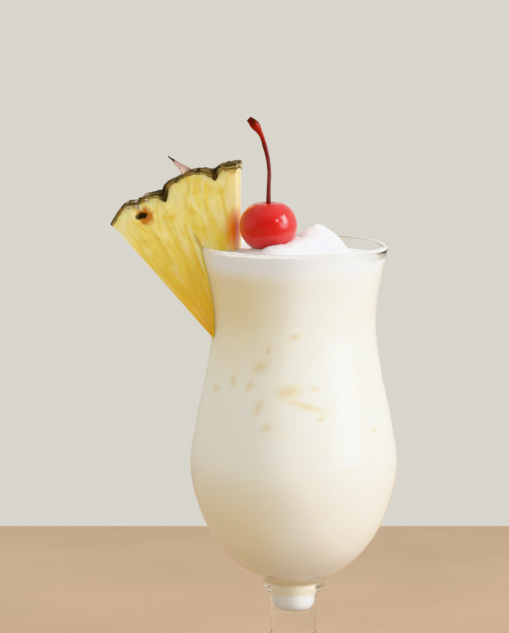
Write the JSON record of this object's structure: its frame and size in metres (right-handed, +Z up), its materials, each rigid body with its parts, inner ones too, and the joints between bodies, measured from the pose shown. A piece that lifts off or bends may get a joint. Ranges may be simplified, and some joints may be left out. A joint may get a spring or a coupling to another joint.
{
  "type": "pina colada in a hurricane glass",
  "caption": "Creamy pina colada with a foam top in a footed hurricane glass, with a slotted pineapple wedge on the rim and a stemmed cherry.",
  "frame": {"origin": "centre of the flat underside of the glass's foot", "axes": "+Z up along the glass's axis, +Y across the flat wedge's thickness and away from the front, +X away from the wedge"},
  "size_m": [0.1148, 0.083, 0.2421],
  "materials": {
    "clear_glass": "clear and polished",
    "creamy_drink": "opaque, creamy and wet",
    "white_foam": "soft white foam",
    "pineapple": "wet yellow flesh with a dark dry rind",
    "red_cherry": "glossy red skin",
    "dark_stem": "dark red, slightly glossy"
  },
  "bodies": {
    "root": {"glass": "clear_glass", "drink": "creamy_drink", "foam": "white_foam", "pineapple": "pineapple", "cherry": "red_cherry", "cherry_stem": "dark_stem"}
  },
  "joints": []
}
